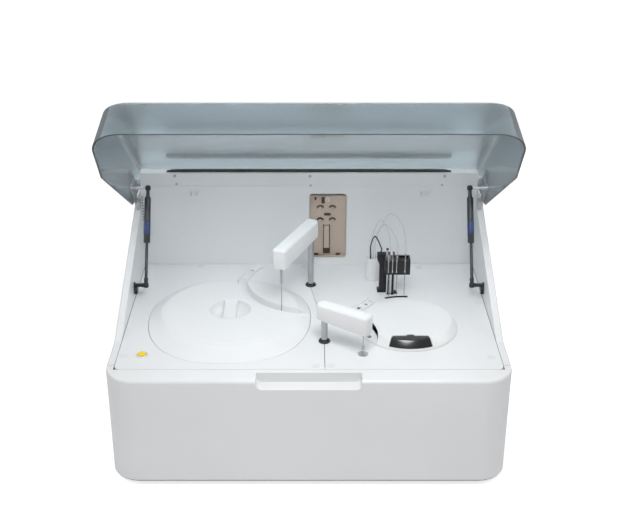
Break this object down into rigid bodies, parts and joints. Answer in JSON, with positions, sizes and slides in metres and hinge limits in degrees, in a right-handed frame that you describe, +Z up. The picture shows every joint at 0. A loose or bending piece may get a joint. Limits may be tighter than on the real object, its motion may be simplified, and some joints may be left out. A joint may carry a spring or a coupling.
{
  "type": "benchtop chemistry analyzer",
  "caption": "Benchtop chemistry analyzer: white casing, hinged smoked lid on gas struts, sample carousel, swinging sample and mixer arms, cuvette ring and wash station over a flat deck",
  "frame": {"origin": "middle of the plan box of the open analyzer, on the bench", "axes": "+X to the right as seen from the front, +Y from the front face to the back, +Z up"},
  "size_m": [0.76, 0.614, 0.7056],
  "materials": {
    "white_plastic": "satin white moulding",
    "grey_plastic": "matt moulding",
    "painted_pan": "painted sheet",
    "black_plastic": "fine satin",
    "black_steel": "black coated",
    "rubber": "matt",
    "smoked_acrylic": "see-through blue-grey",
    "amber_acrylic": "see-through brown",
    "clear_plastic": "clear",
    "steel": "ground",
    "plated_sheet": "dull plated sheet",
    "yellow_plastic": "satin"
  },
  "bodies": {
    "chassis": {"base_pan": "painted_pan", "front_cover": "white_plastic", "left_side_cover": "white_plastic", "right_side_cover": "white_plastic", "rear_cover": "white_plastic", "connector_panel": "black_plastic", "fluid_ports": "grey_plastic", "back_wall": "white_plastic", "header_panel": "white_plastic", "rear_seal": "rubber", "ise_module": "white_plastic", "deck_left": "white_plastic", "deck_right": "white_plastic", "carousel_well": "grey_plastic", "reaction_well": "grey_plastic", "sample_collar": "black_plastic", "sample_guide": "steel", "mixer_collar": "black_plastic", "mixer_guide": "steel", "mixer_wash_well": "white_plastic", "wash_mast": "black_plastic", "tube_tower": "white_plastic", "wash_cable": "black_plastic", "button_bezel": "white_plastic", "foot_front_left": "rubber", "foot_front_right": "rubber", "foot_rear_left": "rubber", "foot_rear_right": "rubber", "lid_pivot_left": "grey_plastic", "lid_pivot_right": "grey_plastic", "wall_bracket_left": "white_plastic", "wall_bracket_right": "white_plastic", "strut_bracket_left": "black_steel", "strut_bracket_right": "black_steel"},
    "lid": {"lid_shell": "smoked_acrylic", "lid_bracket_left": "plated_sheet", "lid_bracket_right": "plated_sheet"},
    "strut_rod_left": {"strut_rod_left": "black_steel"},
    "strut_rod_right": {"strut_rod_right": "black_steel"},
    "strut_tube_left": {"strut_tube_left": "black_steel"},
    "strut_tube_right": {"strut_tube_right": "black_steel"},
    "ise_cover": {"ise_cover": "amber_acrylic"},
    "carousel_cover": {"carousel_cover": "white_plastic"},
    "carousel_disk": {"carousel_disk": "grey_plastic"},
    "reaction_cover": {"reaction_cover": "white_plastic", "cuvette_window": "black_plastic"},
    "reaction_ring": {"reaction_ring": "clear_plastic"},
    "sample_carriage": {"sample_carriage": "grey_plastic"},
    "sample_arm": {"sample_column": "steel", "sample_arm": "white_plastic", "sample_probe": "steel"},
    "mixer_carriage": {"mixer_carriage": "grey_plastic"},
    "mixer_arm": {"mixer_column": "steel", "mixer_arm": "white_plastic"},
    "mixer_paddle": {"mixer_paddle": "steel"},
    "wash_head": {"wash_head": "black_plastic", "wash_hoses": "clear_plastic"},
    "yellow_button": {"yellow_button": "yellow_plastic"},
    "power_switch": {"power_switch": "black_plastic"}
  },
  "joints": [
    {"name": "lid_hinge", "type": "hinge", "parent": "chassis", "child": "lid", "pos_m": [0, 0.179, 0.3893], "axis": [-1, 0, 0], "range_deg": [-53, 0]},
    {"name": "strut_swing_left", "type": "hinge", "parent": "chassis", "child": "strut_rod_left", "pos_m": [-0.34, 0.02, 0.2683], "axis": [-1, 0, 0], "range_deg": [0, 4.6]},
    {"name": "strut_stroke_left", "type": "slide", "parent": "strut_rod_left", "child": "strut_tube_left", "axis": [0, 0.5525, 0.8335], "range_m": [-0.0592, 0]},
    {"name": "strut_swing_right", "type": "hinge", "parent": "chassis", "child": "strut_rod_right", "pos_m": [0.34, 0.02, 0.2683], "axis": [-1, 0, 0], "range_deg": [0, 4.6]},
    {"name": "strut_stroke_right", "type": "slide", "parent": "strut_rod_right", "child": "strut_tube_right", "axis": [0, 0.5525, 0.8335], "range_m": [-0.0592, 0]},
    {"name": "ise_cover_pull", "type": "slide", "parent": "chassis", "child": "ise_cover", "axis": [0, -1, 0], "range_m": [0, 0.03]},
    {"name": "carousel_cover_lift", "type": "slide", "parent": "chassis", "child": "carousel_cover", "axis": [0, 0, 1], "range_m": [0, 0.05]},
    {"name": "carousel_spin", "type": "hinge", "parent": "chassis", "child": "carousel_disk", "pos_m": [-0.16, -0.057, 0.1723], "axis": [0, 0, 1], "continuous": true},
    {"name": "reaction_cover_lift", "type": "slide", "parent": "chassis", "child": "reaction_cover", "axis": [0, 0, 1], "range_m": [0, 0.02]},
    {"name": "reaction_spin", "type": "hinge", "parent": "chassis", "child": "reaction_ring", "pos_m": [0.197, -0.077, 0.1953], "axis": [0, 0, 1], "continuous": true},
    {"name": "sample_lift", "type": "slide", "parent": "chassis", "child": "sample_carriage", "axis": [0, 0, 1], "range_m": [-0.045, 0]},
    {"name": "sample_swing", "type": "hinge", "parent": "sample_carriage", "child": "sample_arm", "pos_m": [0.004, 0.082, 0.2373], "axis": [0, 0, 1], "range_deg": [-94, 84]},
    {"name": "mixer_lift", "type": "slide", "parent": "chassis", "child": "mixer_carriage", "axis": [0, 0, 1], "range_m": [-0.03, 0.04]},
    {"name": "mixer_swing", "type": "hinge", "parent": "mixer_carriage", "child": "mixer_arm", "pos_m": [0.03, -0.161, 0.2373], "axis": [0, 0, 1], "range_deg": [0, 40.8]},
    {"name": "paddle_spin", "type": "hinge", "parent": "mixer_arm", "child": "mixer_paddle", "pos_m": [0.10313, -0.20904, 0.2833], "axis": [0, 0, 1], "continuous": true},
    {"name": "wash_lift", "type": "slide", "parent": "chassis", "child": "wash_head", "axis": [0, 0, 1], "range_m": [-0.032, 0]},
    {"name": "button_press", "type": "slide", "parent": "chassis", "child": "yellow_button", "axis": [0, 0, -1], "range_m": [0, 0.002], "stiffness_N_per_m": 400},
    {"name": "switch_rock", "type": "hinge", "parent": "chassis", "child": "power_switch", "pos_m": [-0.285, 0.284, 0.085], "axis": [1, 0, 0], "range_deg": [-8, 8]}
  ],
  "couplings": [
    {"joint": "strut_swing_left", "follows": "lid_hinge", "ratio": -0.0862},
    {"joint": "strut_stroke_left", "follows": "lid_hinge", "m_per_rad": 0.0634},
    {"joint": "strut_swing_right", "follows": "lid_hinge", "ratio": -0.0862},
    {"joint": "strut_stroke_right", "follows": "lid_hinge", "m_per_rad": 0.0634}
  ]
}
